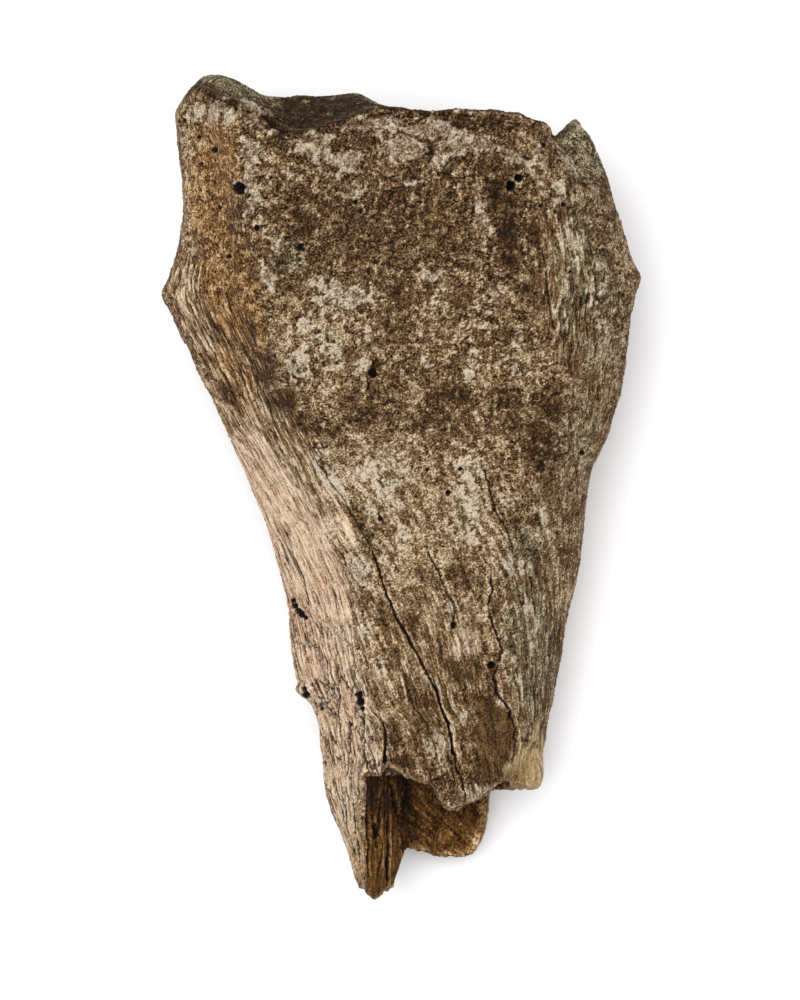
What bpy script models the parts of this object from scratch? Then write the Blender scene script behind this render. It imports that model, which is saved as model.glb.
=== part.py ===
"""The upper half of a young cow's shin bone, weathered and broken across the shaft.

The bone lies on its flat hind face, as it would rest. X runs across it, Y along it towards the knee end, and
Z up from the surface that it lies on. The origin is under the middle of the bone's box, at the surface.
Sizes are in millimetres until the mesh is placed.
"""

import bmesh
import bpy
import numpy as np

MM = 0.001

LENGTH = 165.0
WIDTH = 94.8
CUT_TOP = 62.0
CUT_MARGIN = 4.0

# Lines that run along the bone, as (place along Y, value), from the knee end down to the break.
LEFT_EDGE_X = (
    (86.0, -45.2), (75.3, -45.0), (57.3, -43.7), (49.3, -44.4), (38.7, -47.3), (33.3, -45.2),
    (17.3, -37.8), (1.3, -30.6), (-10.7, -26.0), (-22.7, -23.0), (-38.0, -21.0), (-41.5, -19.4),
    (-45.6, -16.8), (-54.7, -15.8), (-62.7, -14.8), (-70.7, -11.4), (-78.7, -9.0), (-86.0, -6.4),
)
RIGHT_EDGE_X = (
    (86.0, 29.0), (73.5, 35.6), (65.3, 39.8), (53.3, 44.0), (46.0, 46.0), (42.0, 47.5),
    (37.3, 46.6), (21.3, 44.6), (13.3, 42.6), (1.3, 37.8), (-14.7, 36.0), (-38.7, 31.0),
    (-54.7, 28.2), (-86.0, 26.0),
)
EDGE_Z = ((86.0, 30.0), (45.0, 25.0), (0.0, 20.0), (-60.0, 15.5), (-86.0, 15.0))
CREST_X = (
    (86.0, -33.0), (70.0, -31.0), (58.0, -27.6), (40.0, -25.4), (17.3, -16.6), (-5.0, -10.2),
    (-35.0, -5.0), (-60.0, -5.8), (-86.0, -5.0),
)
CREST_Z = ((86.0, 55.0), (70.0, 54.5), (40.0, 52.0), (17.0, 47.5), (-5.0, 41.5), (-35.0, 35.0), (-86.0, 31.5))
RIDGE_X = ((86.0, 29.5), (70.0, 30.4), (40.0, 32.8), (17.0, 32.5), (-5.0, 29.0), (-35.0, 24.5), (-86.0, 21.0))
RIDGE_Z = ((86.0, 46.0), (70.0, 45.0), (40.0, 42.5), (17.0, 39.5), (-5.0, 36.0), (-35.0, 31.0), (-86.0, 27.0))
FRONT_CROWN = ((86.0, 0.4), (40.0, 0.6), (0.0, 1.8), (-60.0, 2.8), (-86.0, 2.8))
HEEL_Z = ((86.0, 7.0), (64.0, 1.5), (46.0, -0.8), (20.0, 2.0), (-20.0, 4.5), (-60.0, 2.2), (-86.0, 2.0))
KEEL_Z = ((86.0, 10.0), (46.0, 2.2), (20.0, 4.5), (-20.0, 4.0), (-50.0, 0.6), (-63.0, -0.7), (-86.0, 0.4))
LEFT_HEEL_SHARE = 0.25
RIGHT_HEEL_SHARE = 0.78
FLANK_SHARE = 0.5
FLANK_RISE = 0.6
COLUMNS_PER_SPAN = 8
LOFT_STEP = 3.6
LOFT_BENDS = (42.0, 38.7, -41.5, -45.6)

# The knee end: the rim that shows in front, and the skyline behind it, as (place along X, height along Y).
FRONT_RIM = (
    (-46.0, 73.5), (-42.5, 77.6), (-39.8, 80.0), (-36.6, 78.5), (-28.4, 75.1), (-23.8, 72.3), (-20.0, 71.2),
    (-14.4, 72.4), (-8.0, 74.4), (-4.0, 75.7), (4.8, 74.8), (10.4, 75.4), (23.8, 74.4), (27.2, 72.8),
    (29.4, 70.2), (30.6, 68.6), (32.4, 63.5), (34.8, 59.4), (44.0, 60.2),
)
SKYLINE = (
    (-46.0, 74.0), (-44.0, 77.7), (-40.6, 81.2), (-37.0, 82.5), (-33.2, 81.3), (-28.4, 78.9), (-24.6, 77.7),
    (-18.2, 77.8), (-9.8, 78.7), (-5.5, 77.2), (-0.2, 75.6), (4.8, 74.8), (10.4, 75.5), (23.8, 74.5),
    (27.2, 73.0), (29.4, 70.4), (30.6, 69.6), (31.8, 70.6), (35.2, 73.6), (38.0, 71.5), (44.0, 68.0),
)
RIM_STAND_OFF = 0.3
RIM_BACK_Z = 4.0
RISE_DEPTH = ((-46.0, 0.5), (0.0, 0.5), (28.0, 0.4), (35.0, 0.3), (44.0, 0.3))
DISH_DEPTH = ((-46.0, 0.0), (-36.0, 0.8), (-20.0, 2.4), (-4.0, 0.6), (12.0, 2.2), (26.0, 1.0), (44.0, 0.0))
BACK_FALL = 6.0
BACK_FALL_END = 1.3
PEAK_PLACES_X = (35.2, 38.0)
END_RELIEF_STEP = 2.6
END_RELIEF_DEPTHS = (0.0, 0.05, 0.11, 0.18, 0.26, 0.36, 0.48, 0.6, 0.75, 0.9, 1.1)

# The marrow hollow: its middle and half sizes, along Y from the break up to the blind end.
HOLLOW_MIDDLE_X = ((-86.0, 10.4), (-60.0, 10.2), (-20.0, 7.0), (8.0, 5.0))
HOLLOW_MIDDLE_Z = ((-86.0, 15.8), (-60.0, 16.2), (8.0, 21.0))
HOLLOW_HALF_WIDTH = ((-86.0, 10.2), (-60.0, 10.6), (-25.0, 11.4), (-6.0, 9.0), (6.0, 3.2), (8.0, 0.8))
HOLLOW_HALF_DEPTH = ((-86.0, 8.4), (-60.0, 8.8), (-25.0, 9.0), (-6.0, 7.0), (6.0, 2.6), (8.0, 0.7))
HOLLOW_LOW_END = -92.0
HOLLOW_TOP_END = 8.0
HOLLOW_SIDES = 28
HOLLOW_RINGS = 18

# The break: where the front wall ends, and how far anything reaches, as (place along X, place along Y).
FRONT_BREAK = (
    (-7.2, -58.3), (-3.6, -58.5), (-3.2, -55.4), (-1.6, -56.6), (0.8, -58.2), (3.8, -59.4), (6.0, -59.4),
    (7.4, -62.6), (9.8, -64.9), (11.8, -65.0), (12.8, -63.8), (15.8, -63.2), (17.4, -61.8), (20.0, -59.4),
    (24.0, -60.0), (40.0, -60.8),
)
FRONT_BREAK_FLOOR = ((-7.2, 29.0), (-3.5, 25.5), (-0.6, 21.5), (1.5, 15.5), (40.0, 12.0))
LOWEST_REACH = (
    (-24.0, -79.0), (-9.0, -79.7), (-6.8, -81.0), (-5.2, -82.5), (-3.8, -81.1), (-2.6, -80.4), (-1.6, -79.8),
    (-0.8, -77.0), (0.4, -73.8), (0.7, -72.1), (3.8, -72.8), (7.8, -74.1), (13.4, -74.1), (15.0, -72.8),
    (16.4, -70.3), (17.1, -67.8), (17.4, -62.6), (17.7, -60.5), (40.0, -60.7),
)
BREAK_CEILING = 38.0
BREAK_UNDERCUT = 1.6
TIP_BEVEL_HINGE = ((21.0, -56.2), (27.0, -49.6))
TIP_BEVEL_RUN = 11.0
TIP_BEVEL_DEPTH = 4.5
TIP_BEVEL_LIFT = 0.2
SPLINTER_UNDERSIDE = (
    (-26.0, -61.0, 3.0, 19.0), (-10.0, -62.0, 1.5, 16.0), (-4.0, -65.0, 1.0, 12.0), (0.4, -70.0, 0.5, 4.0),
)

# Furrows, as (X, Y, width, depth) along each.
MAIN_CRACK = (
    (-4.6, -14.7, 0.5, 1.2), (-2.4, -22.7, 0.9, 2.2), (2.0, -30.7, 1.0, 2.6), (6.4, -39.3, 1.0, 2.6),
    (9.2, -47.3, 1.1, 2.8), (11.0, -55.7, 1.1, 2.8), (12.8, -66.0, 1.3, 3.2),
)
SIDE_CRACK = ((-4.4, -44.3, 0.5, 1.0), (-3.4, -47.7, 0.8, 2.0), (-3.0, -51.3, 1.0, 2.4), (-3.1, -59.0, 1.5, 3.4))
NOTCH_FURROW = ((32.4, 48.0, 0.8, 0.4), (31.6, 58.0, 1.8, 0.9), (30.8, 65.0, 3.0, 1.6), (30.4, 78.0, 4.2, 3.0))
SPLINTER_GROOVES = (
    ((-4.7, -64.0, 0.8, 1.0), (-4.4, -70.5, 1.3, 3.0), (-3.8, -76.0, 1.0, 2.4), (-4.6, -79.0, 0.6, 0.8)),
    ((-2.4, -66.5, 0.7, 0.8), (-2.2, -72.5, 1.3, 3.2), (-2.5, -80.0, 1.1, 2.4)),
)
FURROW_LIP = 1.5
SHORTEST_EDGE = 0.03

BONE_COLOUR = (0.19, 0.125, 0.07, 1.0)
BONE_ROUGHNESS = 0.85


def along(profile, at):
    """The value of a profile at each place, smooth and without overshoot between its points."""
    known = np.array(sorted(profile))
    x, y = known[:, 0], known[:, 1]
    step = np.diff(x)
    slope = np.diff(y) / step
    turn = np.zeros(len(x))
    same_way = slope[:-1] * slope[1:] > 0
    blend = 2 * slope[:-1] * slope[1:] / np.where(same_way, slope[:-1] + slope[1:], 1)
    turn[1:-1] = np.where(same_way, blend, 0)
    turn[0], turn[-1] = slope[0], slope[-1]
    at = np.clip(np.asarray(at, float), x[0], x[-1])
    i = np.clip(np.searchsorted(x, at) - 1, 0, len(step) - 1)
    t = (at - x[i]) / step[i]
    rise = y[i] * (1 + 2 * t) * (1 - t) ** 2 + y[i + 1] * t**2 * (3 - 2 * t)
    return rise + step[i] * (turn[i] * t * (1 - t) ** 2 + turn[i + 1] * t**2 * (t - 1))


def ease(value, low, high):
    """0 below low, 1 above high, and a smooth rise between."""
    t = np.clip((value - low) / (high - low), 0, 1)
    return t * t * (3 - 2 * t)


def section_corners(y):
    """The nine corners of the outer section at y, in order round it, as (x, z)."""
    left, right = along(LEFT_EDGE_X, y), along(RIGHT_EDGE_X, y)
    edge_z = along(EDGE_Z, y)
    crest = np.array((along(CREST_X, y), along(CREST_Z, y)))
    ridge = np.array((along(RIDGE_X, y), along(RIDGE_Z, y)))
    left_edge = np.array((left, edge_z))
    flank = left_edge + (crest - left_edge) * (FLANK_SHARE, FLANK_RISE)
    front = (crest + ridge) / 2 + (0, along(FRONT_CROWN, y))
    width = right - left
    heel_z = along(HEEL_Z, y)
    return np.array(
        (
            left_edge,
            flank,
            crest,
            front,
            ridge,
            (right, edge_z),
            (left + RIGHT_HEEL_SHARE * width, heel_z),
            ((left + right) / 2, along(KEEL_Z, y)),
            (left + LEFT_HEEL_SHARE * width, heel_z),
        )
    )


def section(y):
    """The outer section at y: a smooth closed curve through its corners, fitted to the edges and the floor."""
    corners = section_corners(y)
    t = np.arange(COLUMNS_PER_SPAN)[:, None] / COLUMNS_PER_SPAN
    curve = []
    for i in range(len(corners)):
        before, here, after, beyond = (corners[(i + k) % len(corners)] for k in (-1, 0, 1, 2))
        bend = 2 * before - 5 * here + 4 * after - beyond
        twist = 3 * (here - after) + beyond - before
        curve.append(here + 0.5 * t * ((after - before) + t * (bend + t * twist)))
    curve = np.concatenate(curve)
    low, high = curve[:, 0].min(), curve[:, 0].max()
    left, right = along(LEFT_EDGE_X, y), along(RIGHT_EDGE_X, y)
    curve[:, 0] = left + (curve[:, 0] - low) * (right - left) / (high - low)
    curve[:, 1] = np.maximum(curve[:, 1], 0)
    return curve


def front_z(x, y):
    """The height of the outer surface's upper side over (x, y)."""
    curve = section(y)
    upper = curve[: 5 * COLUMNS_PER_SPAN + 1]
    order = np.argsort(upper[:, 0])
    return float(np.interp(x, upper[order, 0], upper[order, 1]))


def closed_loft(name, rings):
    """A closed object through rings of the same number of (x, y, z) points, capped at both ends."""
    mesh = bmesh.new()
    made = [[mesh.verts.new(point) for point in ring] for ring in rings]
    for lower, upper in zip(made, made[1:]):
        for i in range(len(lower)):
            j = (i + 1) % len(lower)
            mesh.faces.new((lower[i], lower[j], upper[j], upper[i]))
    mesh.faces.new(reversed(made[0]))
    mesh.faces.new(made[-1])
    bmesh.ops.triangulate(mesh, faces=[f for f in mesh.faces if len(f.verts) > 4])
    bmesh.ops.recalc_face_normals(mesh, faces=mesh.faces)
    data = bpy.data.meshes.new(name)
    mesh.to_mesh(data)
    mesh.free()
    made_object = bpy.data.objects.new(name, data)
    bpy.context.scene.collection.objects.link(made_object)
    return made_object


def outer_body():
    """The whole bone outside, longer at both ends than what is left of it."""
    reach = LENGTH / 2 + CUT_MARGIN
    stations = np.linspace(-reach, reach, int(2 * reach / LOFT_STEP) + 1)
    for place in LOFT_BENDS:
        stations[np.abs(stations - place).argmin()] = place
    return closed_loft("bone_fragment", [[(x, y, z) for x, z in section(y)] for y in stations])


def marrow_hollow():
    """The cutter of the marrow hollow: an oval tube that closes in the spongy bone."""
    rings = []
    for y in np.linspace(HOLLOW_LOW_END, HOLLOW_TOP_END, HOLLOW_RINGS):
        angle = np.linspace(0, 2 * np.pi, HOLLOW_SIDES, endpoint=False)
        x = along(HOLLOW_MIDDLE_X, y) + along(HOLLOW_HALF_WIDTH, y) * np.cos(angle)
        z = along(HOLLOW_MIDDLE_Z, y) + along(HOLLOW_HALF_DEPTH, y) * np.sin(angle)
        rings.append([(a, y, b) for a, b in zip(x, z)])
    return closed_loft("cut_hollow", rings)


def spread(places, step):
    """The given places, with more between them so that none is further than step from the next."""
    places = sorted(places)
    full = []
    for here, after in zip(places, places[1:]):
        count = max(int(np.ceil((after - here) / step)), 1)
        full.extend(np.linspace(here, after, count, endpoint=False))
    return full + [places[-1]]


def knee_end_relief(x):
    """The knee end's relief along x, from the front rim to the hind side, as (height along Y, z)."""
    front, sky = along(FRONT_RIM, x), along(SKYLINE, x)
    rim_z = front_z(x, front) + RIM_STAND_OFF
    depth = np.array(END_RELIEF_DEPTHS)
    rise_end = along(RISE_DEPTH, x)
    rise = ease(depth, 0, rise_end)
    dish = along(DISH_DEPTH, x) * np.sin(np.pi * np.clip(depth / rise_end, 0, 1)) ** 2
    height = front + (sky - front) * rise - dish - BACK_FALL * ease(depth, rise_end, BACK_FALL_END)
    return [(float(a), float(b)) for a, b in zip(height, rim_z + (RIM_BACK_Z - rim_z) * depth)]


def knee_end_cut():
    """The cutter above the knee end, a block whose lower face is the end's own relief."""
    side = WIDTH / 2 + CUT_MARGIN
    top = LENGTH / 2 + 3 * CUT_MARGIN
    bent = [x for x, _ in FRONT_RIM[1:-1]] + [-side, side, *PEAK_PLACES_X]
    rings = []
    for x in spread(bent, END_RELIEF_STEP):
        relief = knee_end_relief(x)
        relief = [(relief[0][0], CUT_TOP)] + relief + [(relief[-1][0], -CUT_MARGIN)]
        rings.append([(x, y, z) for y, z in relief + [(top, -CUT_MARGIN), (top, CUT_TOP)]])
    return closed_loft("cut_knee_end", rings)


def break_cut(name, line, floor_of, undercut):
    """A cutter that takes what lies past a line across the bone, from floor_of(x) up."""
    end = -LENGTH / 2 - 3 * CUT_MARGIN
    rings = []
    for x, y in line:
        low = floor_of(x)
        rings.append([(x, y + undercut, low), (x, y, BREAK_CEILING), (x, end, BREAK_CEILING), (x, end, low)])
    return closed_loft(name, rings)


def splinter_underside_cut():
    """The cutter that thins the splinter from below towards its tip."""
    end = -LENGTH / 2 - 3 * CUT_MARGIN
    rings = []
    for x, start, low, high in SPLINTER_UNDERSIDE:
        rings.append([(x, start, -CUT_MARGIN), (x, start, low), (x, end, high), (x, end, -CUT_MARGIN)])
    return closed_loft("cut_splinter_underside", rings)


def tip_bevel_cut():
    """The slant that the break left on the right hand tip of the front wall."""
    end_y = TIP_BEVEL_HINGE[1][1] - TIP_BEVEL_RUN
    rings = []
    for x, y in (*TIP_BEVEL_HINGE, (TIP_BEVEL_HINGE[1][0] + CUT_MARGIN, TIP_BEVEL_HINGE[1][1])):
        z = front_z(min(x, TIP_BEVEL_HINGE[1][0]), y) + TIP_BEVEL_LIFT
        rings.append([(x, y, z), (x, y, CUT_TOP), (x, end_y, CUT_TOP), (x, end_y, z - TIP_BEVEL_DEPTH)])
    return closed_loft("cut_tip_bevel", rings)


def furrow_cut(name, points, surface):
    """A V-shaped furrow along points of (x, y, width, depth), let into surface(x, y)."""
    rings = []
    for i, (x, y, width, depth) in enumerate(points):
        before, after = points[max(i - 1, 0)], points[min(i + 1, len(points) - 1)]
        run = np.array((after[0] - before[0], after[1] - before[1]))
        side = np.array((run[1], -run[0])) / np.linalg.norm(run)
        half = width / 2 * (1 + FURROW_LIP / depth)
        z = surface(x, y)
        rings.append(
            [
                (x - side[0] * half, y - side[1] * half, z + FURROW_LIP),
                (x, y, z - depth),
                (x + side[0] * half, y + side[1] * half, z + FURROW_LIP),
            ]
        )
    return closed_loft(name, rings)


def splinter_z(x, y):
    """The height of the splinter's broken face."""
    return float(np.interp(x, *np.array(FRONT_BREAK_FLOOR).T))


def carve(body, cutters):
    """Takes each cutter away from the body, and removes it."""
    for cutter in cutters:
        cut = body.modifiers.new(cutter.name, "BOOLEAN")
        cut.operation = "DIFFERENCE"
        cut.solver = "MANIFOLD"
        cut.object = cutter
        graph = bpy.context.evaluated_depsgraph_get()
        carved = bpy.data.meshes.new_from_object(body.evaluated_get(graph))
        body.modifiers.clear()
        body.data = carved
        bpy.data.objects.remove(cutter)


def drop_slivers(body):
    """Takes out edges too short to matter, so that no face is a sliver."""
    mesh = bmesh.new()
    mesh.from_mesh(body.data)
    bmesh.ops.dissolve_degenerate(mesh, edges=mesh.edges, dist=SHORTEST_EDGE)
    bmesh.ops.triangulate(mesh, faces=mesh.faces)
    mesh.to_mesh(body.data)
    mesh.free()


def bone_material():
    """Old dry bone, stained by soil."""
    material = bpy.data.materials.new("weathered_bone")
    material.use_nodes = True
    shader = material.node_tree.nodes["Principled BSDF"]
    shader.inputs["Base Color"].default_value = BONE_COLOUR
    shader.inputs["Roughness"].default_value = BONE_ROUGHNESS
    shader.inputs["Metallic"].default_value = 0.0
    return material


def set_down(body):
    """Puts the origin under the middle of the body's box, in metres."""
    count = len(body.data.vertices)
    points = np.empty(count * 3)
    body.data.vertices.foreach_get("co", points)
    points = points.reshape(count, 3)
    low, high = points.min(0), points.max(0)
    shift = np.array(((low[0] + high[0]) / 2, (low[1] + high[1]) / 2, low[2]))
    body.data.vertices.foreach_set("co", ((points - shift) * MM).ravel())
    body.data.update()


def main():
    for old in list(bpy.data.objects):
        bpy.data.objects.remove(old)
    body = outer_body()
    grooves = [furrow_cut(f"cut_groove_{i}", g, splinter_z) for i, g in enumerate(SPLINTER_GROOVES)]
    cutters = [
        knee_end_cut(),
        marrow_hollow(),
        break_cut("cut_front", FRONT_BREAK, lambda x: splinter_z(x, 0), BREAK_UNDERCUT),
        break_cut("cut_through", LOWEST_REACH, lambda x: -CUT_MARGIN, 0),
        splinter_underside_cut(),
        tip_bevel_cut(),
        furrow_cut("cut_main_crack", MAIN_CRACK, front_z),
        furrow_cut("cut_side_crack", SIDE_CRACK, front_z),
        furrow_cut("cut_notch", NOTCH_FURROW, front_z),
    ]
    carve(body, cutters + grooves)
    drop_slivers(body)
    set_down(body)
    body.data.materials.clear()
    body.data.materials.append(bone_material())
    body.data.shade_smooth()
    body.data.set_sharp_from_angle(angle=0.6)


main()
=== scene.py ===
"""A weathered fragment of a young cow's shin bone, lying on a pale table and seen from above.

The bone's solid gives the shape. A copy of it is remeshed finely and sculpted: growth surface, lumps, grain,
pores, lime crust, spalls, drying cracks and the torn fibres of the break. What each place is goes with the
mesh as attributes, and the material's nodes colour it from them. Sizes in the tables below are millimetres,
in the bone's own frame: X across it, Y along it towards the knee end, Z up.
"""

import math
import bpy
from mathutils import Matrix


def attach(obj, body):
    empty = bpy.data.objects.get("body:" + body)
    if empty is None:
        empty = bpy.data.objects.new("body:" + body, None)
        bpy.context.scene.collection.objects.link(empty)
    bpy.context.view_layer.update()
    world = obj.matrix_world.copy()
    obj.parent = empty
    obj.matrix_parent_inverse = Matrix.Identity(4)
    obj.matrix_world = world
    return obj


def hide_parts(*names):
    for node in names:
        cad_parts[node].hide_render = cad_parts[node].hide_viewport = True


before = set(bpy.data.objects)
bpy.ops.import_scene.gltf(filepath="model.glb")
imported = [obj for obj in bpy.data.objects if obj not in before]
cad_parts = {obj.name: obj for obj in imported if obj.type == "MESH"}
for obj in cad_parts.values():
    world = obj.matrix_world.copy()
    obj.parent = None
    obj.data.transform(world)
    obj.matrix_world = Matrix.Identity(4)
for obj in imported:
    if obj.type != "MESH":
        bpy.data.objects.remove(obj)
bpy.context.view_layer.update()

from concurrent.futures import ThreadPoolExecutor

import bpy
import numpy as np
from bpy.props import FloatProperty, FloatVectorProperty, IntProperty, PointerProperty
from mathutils import Vector

bl_info = {
    "name": "Weathered bone fragment",
    "version": (1, 0, 0),
    "blender": (4, 5, 0),
    "location": "3D View > Sidebar > Bone",
    "description": "Sculpts and colours a broken, weathered cow's shin bone and sets its table",
    "category": "Object",
}

NODE = "bone_fragment"
MM = 0.001

# The lie of the grain: it runs along the bone, and from this Y down it also turns round the shaft.
GRAIN_TURN_FROM_Y = 12
GRAIN_TURN = 0.0131
ARC_TO_MM = 30

# Regions of the break and the hollow.
BREAK_FROM_Y = -50
KNEE_END_FROM_Y = 55
HOLLOW_Y = (-86, -60, -20, 8)
HOLLOW_X = (10.4, 10.2, 7, 5)
HOLLOW_Z = (15.8, 16.2, 19, 21)
HOLLOW_WIDE = (10.2, 10.6, 11.2, 0.8)
HOLLOW_DEEP = (8.4, 8.8, 8.8, 0.7)
SPLINTER_EDGE_X = -7.2
SPLINTER_RIGHT_X = 1.2
SPLINTER_FROM_Y = -57.8
SPLINTER_TOP_Z = 30.5

# The map for baking: each region's chart, as left, bottom, width and height, and which of them are unrolled.
CHARTS = {
    "outer": (0, 0, 0.79, 1),
    "growth": (0.8, 0.76, 0.2, 0.24),
    "hollow": (0.8, 0.27, 0.2, 0.48),
    "torn": (0.8, 0.13, 0.2, 0.13),
    "splinter": (0.8, 0, 0.2, 0.12),
}
UNROLLED = ("outer", "hollow")

# Patches: (x, y, half width, half length, strength, and the turn in degrees where there is one).
LIME_CRUST = (
    (-30, 64, 1.9, 6.5, 1, 4), (-35.5, 74, 3, 1.8, 0.7, -20), (-30, 73, 3.5, 1.5, 0.9, -16),
    (-25.5, 71, 2.6, 1.2, 0.7, -15), (-17.5, 67.3, 4.2, 3, 0.85), (-11, 64.6, 3.2, 2.7, 0.95),
    (-9.4, 58.6, 1.5, 2.2, 1, -30), (-0.2, 67.2, 4, 2.9, 1), (-4.5, 72.2, 6.5, 2, 0.9, 4),
    (5.6, 71, 6, 1.8, 0.95, -6), (8.6, 66.6, 2.2, 2.8, 0.9), (13, 67.8, 5, 2.1, 0.95),
    (17.6, 67.4, 1.7, 0.9, 0.9, -30), (22.8, 65.6, 3.4, 1, 0.85, -32), (26.6, 62, 1, 3.4, 0.7, 14),
    (-29.5, 57, 1.1, 3.4, 0.75, -8), (-27.8, 52.4, 1.2, 2, 0.6), (-22.5, 61.5, 3, 1.4, 0.45),
    (-24.4, 48.6, 2, 1.5, 0.6), (-26.5, 42, 1.1, 3, 0.7, 24), (2.5, 60.5, 2.2, 1.1, 0.55, 20),
    (-3.6, 60.2, 1.1, 0.8, 0.8), (2.8, 47.2, 0.9, 1.1, 0.8), (-12.2, 37.6, 5.6, 4.6, 0.75),
    (-19, 33, 2.6, 2.6, 0.6), (-14.5, 27, 2.6, 4.5, 0.6, 20), (-20.5, 24.5, 2.4, 4.2, 0.7, 10),
    (5.4, 41.7, 2, 1.6, 0.55), (6.8, 36.8, 1.8, 2.8, 0.5), (16.4, 33.4, 1.8, 2, 0.6),
    (-8.2, 24.2, 1.5, 2.2, 0.7), (-6.5, 30, 2.4, 2, 0.5), (5.2, 24.6, 1, 1.8, 0.75),
    (14, 24.5, 1.6, 4, 0.6), (22.3, 23.6, 2.4, 2, 0.6), (24.4, 30, 1.6, 3, 0.45),
    (33.5, 50, 2.2, 6.5, 0.55, 6), (38.6, 36, 1.8, 6, 0.45, 4), (30.8, 59, 1.8, 3, 0.55, 20),
    (-15.8, 7.2, 0.9, 1.5, 0.9), (-13.6, 0.5, 1.2, 5.6, 0.75, 32), (-21.6, 3, 0.9, 3.4, 0.7, 20),
    (-5.2, 1.2, 4.4, 5.6, 0.45, 14), (1.5, 5.4, 3, 3.2, 0.4), (-3, -4.6, 4, 3, 0.4, 10),
    (13, 1, 2.2, 7, 0.5, 12), (14.6, -7.6, 3.4, 5, 0.45, 12), (1.2, -8.6, 2.2, 3.2, 0.4, 10),
    (-9, -17, 2.4, 3.8, 0.9, 12), (20.2, -3.5, 1.8, 4, 0.5, 10), (22.4, -15.4, 2.8, 3, 0.6),
    (28.6, -8.2, 1.2, 4, 0.6, 14), (9.2, -24.6, 1.5, 1.1, 1), (12.6, -22.6, 0.6, 2.6, 0.9, -52),
    (-8, -28.6, 2, 4.2, 0.7, 8), (-3.6, -36, 2.2, 2.6, 0.5), (26, -27, 0.8, 5.4, 0.95, 8),
    (20.6, -42.2, 1.1, 1.6, 0.8), (23.6, -38, 1.8, 4, 0.45), (-3.4, -46.6, 1.1, 2, 0.7, 30),
    (7, -51.4, 2.6, 3.6, 0.5), (12.4, -47.2, 1.3, 2.6, 0.45), (-6.4, -49.5, 0.9, 3.4, 0.6),
    (10.6, -64.4, 1.8, 0.9, 0.9), (15.6, -61, 3, 2.2, 1, 35), (3.4, -58.6, 2, 0.7, 0.7),
    (-30.4, 76, 5.4, 0.6, 0.8, -26), (32.8, 65.2, 0.7, 4, 1, 28), (16, 52.6, 1.3, 5.6, 0.7, 4),
    (18.4, 38.4, 2.2, 3.8, 0.6), (-40, 73.6, 3, 1.8, 0.5),
)
SOIL_STAIN = (
    (-24.5, 68.5, 3.6, 1.6, 0.6), (-6.4, 68.8, 1.8, 1.2, 0.8), (-4.2, 65.6, 1.4, 1.6, 0.7, 20),
    (5.2, 67.6, 1.6, 1.8, 0.7), (15.5, 72.2, 8.5, 1.5, 0.95), (19.2, 69.6, 2.4, 1, 0.6, -20),
    (28.6, 68.4, 1.1, 2.6, 0.7, 10), (18, 63.6, 5, 1.8, 0.55, -12), (20.2, 57.6, 3.4, 4.2, 0.85),
    (21.6, 47.6, 2.3, 6.6, 0.95, 4), (26.8, 51, 1.7, 3, 0.7), (-19.5, 52.5, 3, 3.4, 0.6),
    (-20, 47.4, 1.3, 1.2, 1), (-24, 44.2, 2.4, 2.4, 0.75), (-10, 50, 8, 5, 0.45), (-22, 57, 4, 2.2, 0.5),
    (5, 53, 8, 5.4, 0.35), (9.8, 48, 4.6, 4, 0.4), (0, 38.6, 3, 3.4, 0.65), (11.8, 38, 3.2, 3.4, 0.65),
    (9.8, 32.8, 2.6, 2.6, 0.55), (-3, 31.4, 1.6, 4, 0.7, 10), (25.8, 38, 2.2, 4, 0.55),
    (41.5, 44, 1, 9, 0.6, 6), (21.6, 30.4, 2, 1.8, 0.7), (-34.4, 18.6, 2.4, 3.2, 0.85, 30),
    (-27.4, 23.6, 2.4, 3.6, 1, 20), (-30.6, 31, 1.4, 5, 0.5, 18), (-23.4, 17.4, 2.6, 2.6, 0.95, 30),
    (-18.4, 12.4, 3.4, 1.9, 0.95, -32), (-13.6, 10.6, 2.4, 1.7, 0.9), (-11, 16.4, 2.4, 2.8, 0.6, 20),
    (-5, 21.6, 1.6, 4.6, 0.85, 10), (-6, 13.6, 4, 2.8, 0.7), (3, 17, 4.6, 4.2, 0.35),
    (9.8, 18, 4.2, 3.2, 0.75), (7, 12.6, 5.6, 2.2, 0.6), (20.8, 17.6, 3.6, 2.8, 0.7),
    (22.4, 12.6, 2.8, 2.4, 0.6), (30, 17, 2.6, 3.8, 0.95), (28.2, 8, 3.4, 6.2, 0.9, 10),
    (29.6, -1, 2.8, 4.2, 0.65), (34.6, 24, 1.8, 4.6, 0.6), (-8.2, -7.2, 1.5, 4.2, 0.85, 30),
    (-5.6, -12.6, 1.3, 3.8, 0.7, 20), (24.6, -7.6, 3.4, 2.8, 0.75), (33, -14.6, 1.8, 3.4, 0.75),
    (12.2, -18, 3.4, 2.4, 0.9, -20), (4.8, -17.4, 2.4, 3, 0.5), (-3.2, -24, 2, 3.4, 0.5, 20),
    (1, -27.6, 3, 4, 0.55, 30), (10.4, -27.6, 1, 0.7, 1), (22.6, -29, 1.2, 2.4, 0.8, 10),
    (19, -24.8, 0.9, 4, 0.7, 14), (31.2, -31, 1.6, 4, 0.7, 6), (11.6, -36.6, 5.2, 3, 0.6),
    (18.4, -38.4, 1.3, 3.6, 0.9), (4.6, -42, 4.4, 4, 0.55), (-1.6, -50, 1.6, 3.4, 0.7),
    (18.2, -56.8, 2.8, 3, 0.6), (0.6, -55, 2.6, 2, 0.65), (7.4, -59, 3, 1.6, 0.6),
)
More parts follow.
